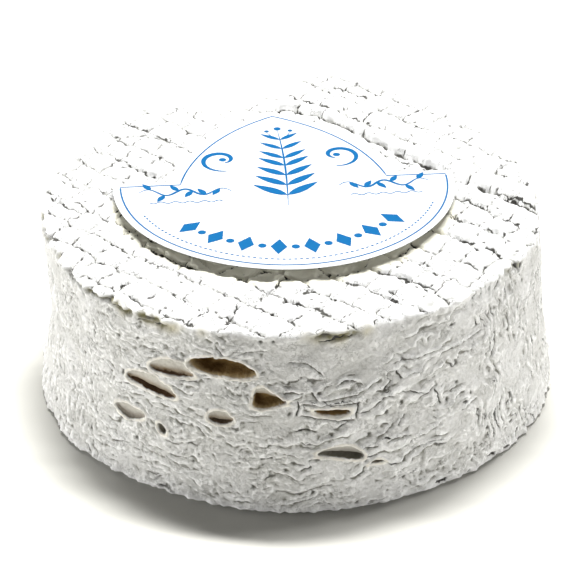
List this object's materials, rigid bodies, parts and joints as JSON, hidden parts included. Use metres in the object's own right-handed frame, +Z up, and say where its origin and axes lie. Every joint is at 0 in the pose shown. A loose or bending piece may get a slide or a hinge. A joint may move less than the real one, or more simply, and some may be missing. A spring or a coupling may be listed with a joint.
{
  "type": "ash-coated goat cheese",
  "caption": "Small drum of soft goat cheese with an ash-grey bloomy rind, mat-marked top, open eyes on its side and a die-cut paper label.",
  "frame": {"origin": "middle of the flat underside that the cheese rests on", "axes": "+Z up out of the labelled face, -Y towards the side with the open eyes, +X to its right"},
  "size_m": [0.1029, 0.1051, 0.0397],
  "materials": {
    "rind": "matt, velvety white mould over grey ash, tan inside the open eyes",
    "label_paper": "smooth coated white paper with azure print"
  },
  "bodies": {
    "root": {"cheese": "rind", "label": "label_paper"}
  },
  "joints": []
}
